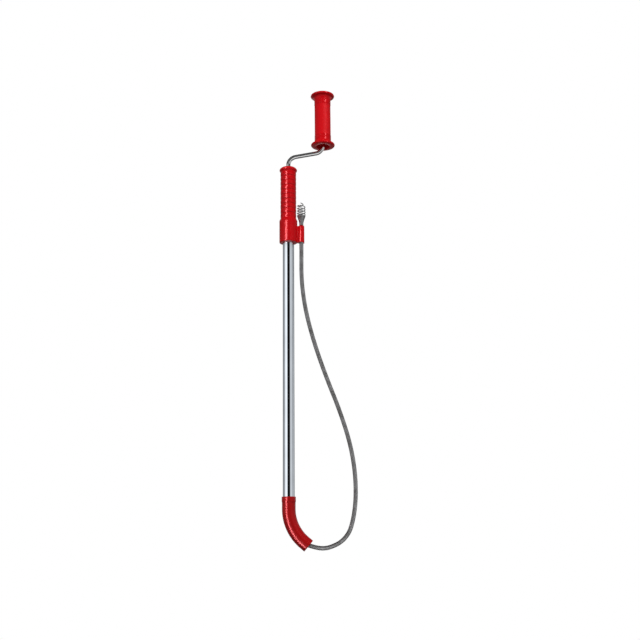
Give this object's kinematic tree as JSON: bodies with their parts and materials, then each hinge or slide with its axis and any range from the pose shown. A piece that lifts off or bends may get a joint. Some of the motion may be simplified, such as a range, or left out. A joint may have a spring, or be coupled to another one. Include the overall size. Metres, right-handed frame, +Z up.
{
  "type": "closet auger",
  "caption": "Hand-cranked closet auger: chromed guide tube with bent, sleeved mouth, ribbed grip with cable clip, sliding crank with spinning grip, and looped flexible cable with a bulb head.",
  "frame": {"origin": "on the guide tube's axis, halfway along the bare tube between boot guard and tube grip", "axes": "+Z up the tube to the crank, +X from the tube to the cable clip and the mouth, +Y completes the set; the object is symmetric about the XZ plane"},
  "size_m": [0.1656, 0.054, 1.0282],
  "materials": {
    "chrome_tube": "bright chrome plate",
    "chrome_rod": "bright plated rod, lightly rubbed",
    "red_vinyl": "smooth glossy vinyl",
    "red_grip": "moulded plastic, glossy with a fine-grained panel",
    "nylon": "natural nylon",
    "cable_steel": "wound spring wire, oiled",
    "head_steel": "wound spring wire",
    "steel": "zinc plated",
    "black_steel": "black oxide",
    "rubber": "moulded rubber"
  },
  "bodies": {
    "guide": {"guide_tube": "chrome_tube", "boot_guard": "red_vinyl", "tube_grip": "red_grip", "top_bush": "nylon", "bush_pins": "steel", "cable_inner": "cable_steel", "cable_loop": "cable_steel"},
    "slider": {"stop_bumper": "rubber"},
    "crank": {"crank_shaft": "chrome_rod", "stop_collar": "steel", "stop_pin": "steel", "cable_coupling": "steel", "coupling_pin": "steel", "coupling_screws": "black_steel", "cable_shank": "cable_steel", "lower_washer": "steel", "upper_washer": "steel", "push_nut": "steel"},
    "spool": {"crank_grip": "red_grip", "grip_core": "steel", "grip_cap": "red_grip"},
    "head": {"auger_head": "head_steel"}
  },
  "joints": [
    {"name": "crank_slide", "type": "slide", "parent": "guide", "child": "slider", "axis": [0, 0, 1], "range_m": [0, 0.665]},
    {"name": "crank_spin", "type": "hinge", "parent": "slider", "child": "crank", "pos_m": [0, 0, 0], "axis": [0, 0, 1], "continuous": true},
    {"name": "grip_spin", "type": "hinge", "parent": "crank", "child": "spool", "pos_m": [0.079, 0, 0.575], "axis": [0, 0, 1], "continuous": true},
    {"name": "head_spin", "type": "hinge", "parent": "guide", "child": "head", "pos_m": [0.029, 0, 0.34], "axis": [0, 0, 1], "continuous": true}
  ],
  "couplings": [
    {"joint": "head_spin", "follows": "crank_spin", "ratio": -1}
  ]
}
